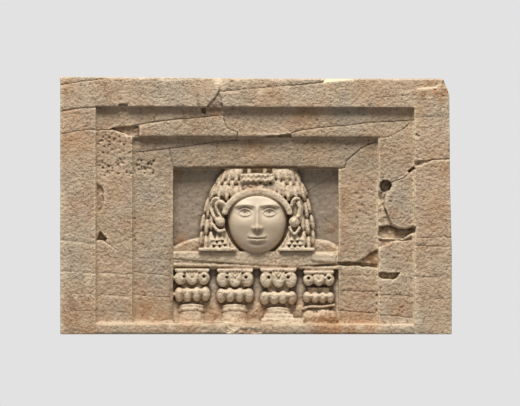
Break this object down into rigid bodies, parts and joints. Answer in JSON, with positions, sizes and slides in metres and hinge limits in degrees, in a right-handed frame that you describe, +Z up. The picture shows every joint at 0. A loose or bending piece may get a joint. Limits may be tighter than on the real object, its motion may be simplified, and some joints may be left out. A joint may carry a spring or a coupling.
{
  "type": "carved relief plaque",
  "caption": "Rectangular ivory relief plaque: a wigged head looks out of a stepped window frame, over a sill carried by small columns with drooping leaves.",
  "frame": {"origin": "centre of the flat back, where the plaque is fixed", "axes": "+Z up, +X to the viewer's right, +Y out of the flat back towards what the plaque is fixed on; the carved side looks along -Y"},
  "size_m": [0.125, 0.013, 0.0822],
  "materials": {
    "ivory": "old ivory, tan and pitted, with brown stains in its cracks and hollows"
  },
  "bodies": {
    "root": {"plaque": "ivory"}
  },
  "joints": []
}
